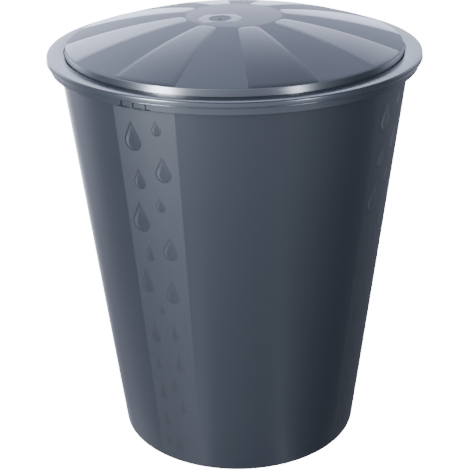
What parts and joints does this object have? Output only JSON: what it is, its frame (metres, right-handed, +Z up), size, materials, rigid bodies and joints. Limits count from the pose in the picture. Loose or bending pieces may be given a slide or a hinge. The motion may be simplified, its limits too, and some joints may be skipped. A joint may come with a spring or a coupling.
{
  "type": "rain barrel",
  "caption": "Round tapered plastic rain barrel with rain-drop bands on its wall and a petalled lift-off lid.",
  "frame": {"origin": "centre of the barrel's base, on the ground", "axes": "+Z up along the barrel's axis, -Y towards the front of the picture, +X to the right"},
  "size_m": [0.8, 0.7999, 0.9678],
  "materials": {
    "barrel_plastic": "semi-gloss",
    "band_plastic": "fine eroded texture",
    "drop_plastic": "polished",
    "lid_plastic": "semi-gloss"
  },
  "bodies": {
    "barrel": {"base_plate": "barrel_plastic", "base_ribs": "barrel_plastic", "rim_flange": "barrel_plastic", "rim_skirt": "barrel_plastic", "rim_webs": "barrel_plastic", "wall_front_right_1": "barrel_plastic", "wall_front_right_2": "barrel_plastic", "wall_right_back_1": "barrel_plastic", "wall_right_back_2": "barrel_plastic", "wall_back_left_1": "barrel_plastic", "wall_back_left_2": "barrel_plastic", "wall_left_front_1": "barrel_plastic", "wall_left_front_2": "barrel_plastic", "drop_panel_front": "band_plastic", "drop_panel_right": "band_plastic", "drop_panel_back": "band_plastic", "drop_panel_left": "band_plastic", "drops_front": "drop_plastic", "drops_right": "drop_plastic", "drops_back": "drop_plastic", "drops_left": "drop_plastic"},
    "lid": {"lid_centre_disc": "lid_plastic", "lid_dome": "lid_plastic", "lid_petals": "lid_plastic", "lid_edge_band": "lid_plastic", "lid_brim": "lid_plastic", "lid_lip": "lid_plastic"}
  },
  "joints": [
    {"name": "lid_lift", "type": "slide", "parent": "barrel", "child": "lid", "axis": [0, 0, 1], "range_m": [0, 0.45]}
  ]
}
